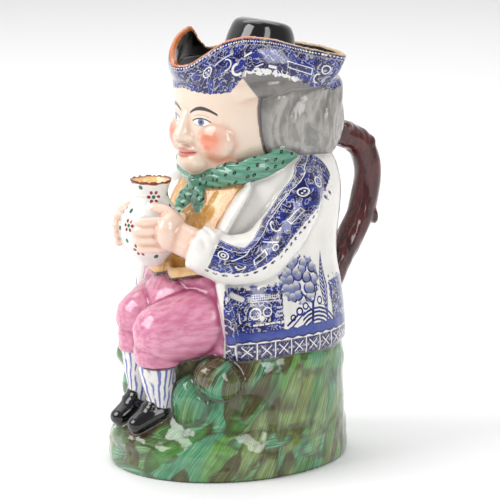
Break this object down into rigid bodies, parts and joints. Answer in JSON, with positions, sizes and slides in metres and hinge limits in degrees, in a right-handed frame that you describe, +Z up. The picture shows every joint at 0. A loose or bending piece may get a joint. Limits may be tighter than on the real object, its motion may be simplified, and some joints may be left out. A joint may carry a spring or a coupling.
{
  "type": "toby jug",
  "caption": "Hollow glazed earthenware jug moulded as a seated figure in a tricorn hat holding a small jug, with a branch handle behind and a lift-off hat crown as lid.",
  "frame": {"origin": "middle of the flat underside, on the surface that the jug stands on", "axes": "+Z up; the figure faces -Y, its left hand is on +X and the handle is behind on +Y"},
  "size_m": [0.1308, 0.1927, 0.264],
  "materials": {
    "painted_glaze": "gloss",
    "black_glaze": "gloss"
  },
  "bodies": {
    "root": {"jug": "painted_glaze", "crown_lid": "black_glaze"}
  },
  "joints": []
}
